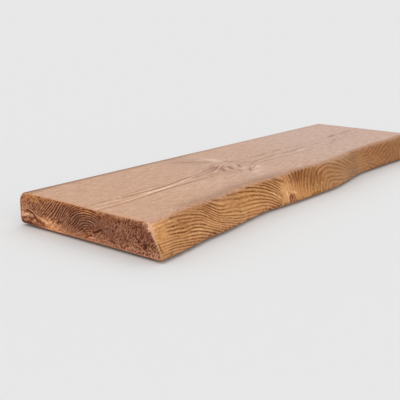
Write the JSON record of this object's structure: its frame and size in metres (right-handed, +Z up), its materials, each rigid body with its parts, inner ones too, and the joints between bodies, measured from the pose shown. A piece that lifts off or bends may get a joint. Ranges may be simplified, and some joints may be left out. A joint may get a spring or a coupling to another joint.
{
  "type": "floating wall shelf",
  "caption": "Solid pine plank shelf with a natural waney front edge, slid onto concealed steel rods on wall plates that lie in pockets in its straight back edge.",
  "frame": {"origin": "on the wall plane, at the centre of the middle wall plate's back, which is the axis of the middle rod, halfway along the plank", "axes": "+X along the plank towards its right end as seen from the room, +Y into the wall, +Z up; the natural front edge faces -Y"},
  "size_m": [0.8, 0.3206, 0.045],
  "materials": {
    "oiled_pine": "brushed and brown-oiled softwood, matt",
    "zinc_plated_plate": "zinc-plated flat bar, satin",
    "bright_steel_rod": "bright drawn round bar",
    "screw_steel": "yellow-passivated zinc",
    "plug_nylon": "plain grey nylon"
  },
  "bodies": {
    "wall_supports": {"left_wall_plate": "zinc_plated_plate", "left_rod": "bright_steel_rod", "left_plate_screw_left": "screw_steel", "left_wall_plug_left": "plug_nylon", "left_plate_screw_right": "screw_steel", "left_wall_plug_right": "plug_nylon", "middle_wall_plate": "zinc_plated_plate", "middle_rod": "bright_steel_rod", "middle_plate_screw_left": "screw_steel", "middle_wall_plug_left": "plug_nylon", "middle_plate_screw_right": "screw_steel", "middle_wall_plug_right": "plug_nylon", "right_wall_plate": "zinc_plated_plate", "right_rod": "bright_steel_rod", "right_plate_screw_left": "screw_steel", "right_wall_plug_left": "plug_nylon", "right_plate_screw_right": "screw_steel", "right_wall_plug_right": "plug_nylon"},
    "board": {"shelf_board": "oiled_pine"}
  },
  "joints": [
    {"name": "board_slide", "type": "slide", "parent": "wall_supports", "child": "board", "axis": [0, -1, 0], "range_m": [0, 0.15]}
  ]
}
